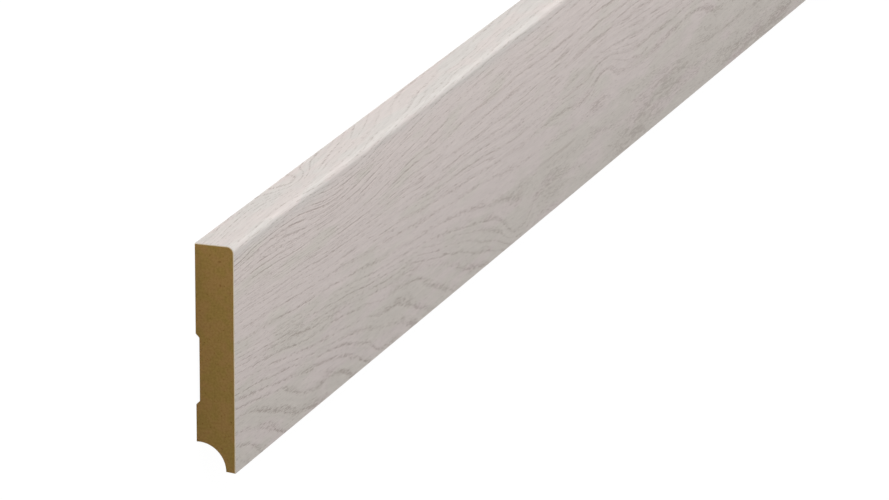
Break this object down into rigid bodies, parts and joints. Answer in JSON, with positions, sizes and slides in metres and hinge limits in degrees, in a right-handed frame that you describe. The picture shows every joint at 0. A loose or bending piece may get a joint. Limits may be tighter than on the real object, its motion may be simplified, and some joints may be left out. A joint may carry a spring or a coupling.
{
  "type": "skirting board length",
  "caption": "Straight foil-wrapped fibreboard skirting length with a rounded top front corner, a relieved back and a quarter-round cable cove at the foot.",
  "frame": {"origin": "middle of the length and of the height, on the back plane that the board lies on", "axes": "+X along the length, +Y from the toe towards the rounded top edge, +Z out of the back plane towards the printed face"},
  "size_m": [2.4, 0.08, 0.014],
  "materials": {
    "raw_mdf": "matte",
    "oak_foil": "satin"
  },
  "bodies": {
    "root": {"mdf_core": "raw_mdf", "decor_foil": "oak_foil"}
  },
  "joints": []
}
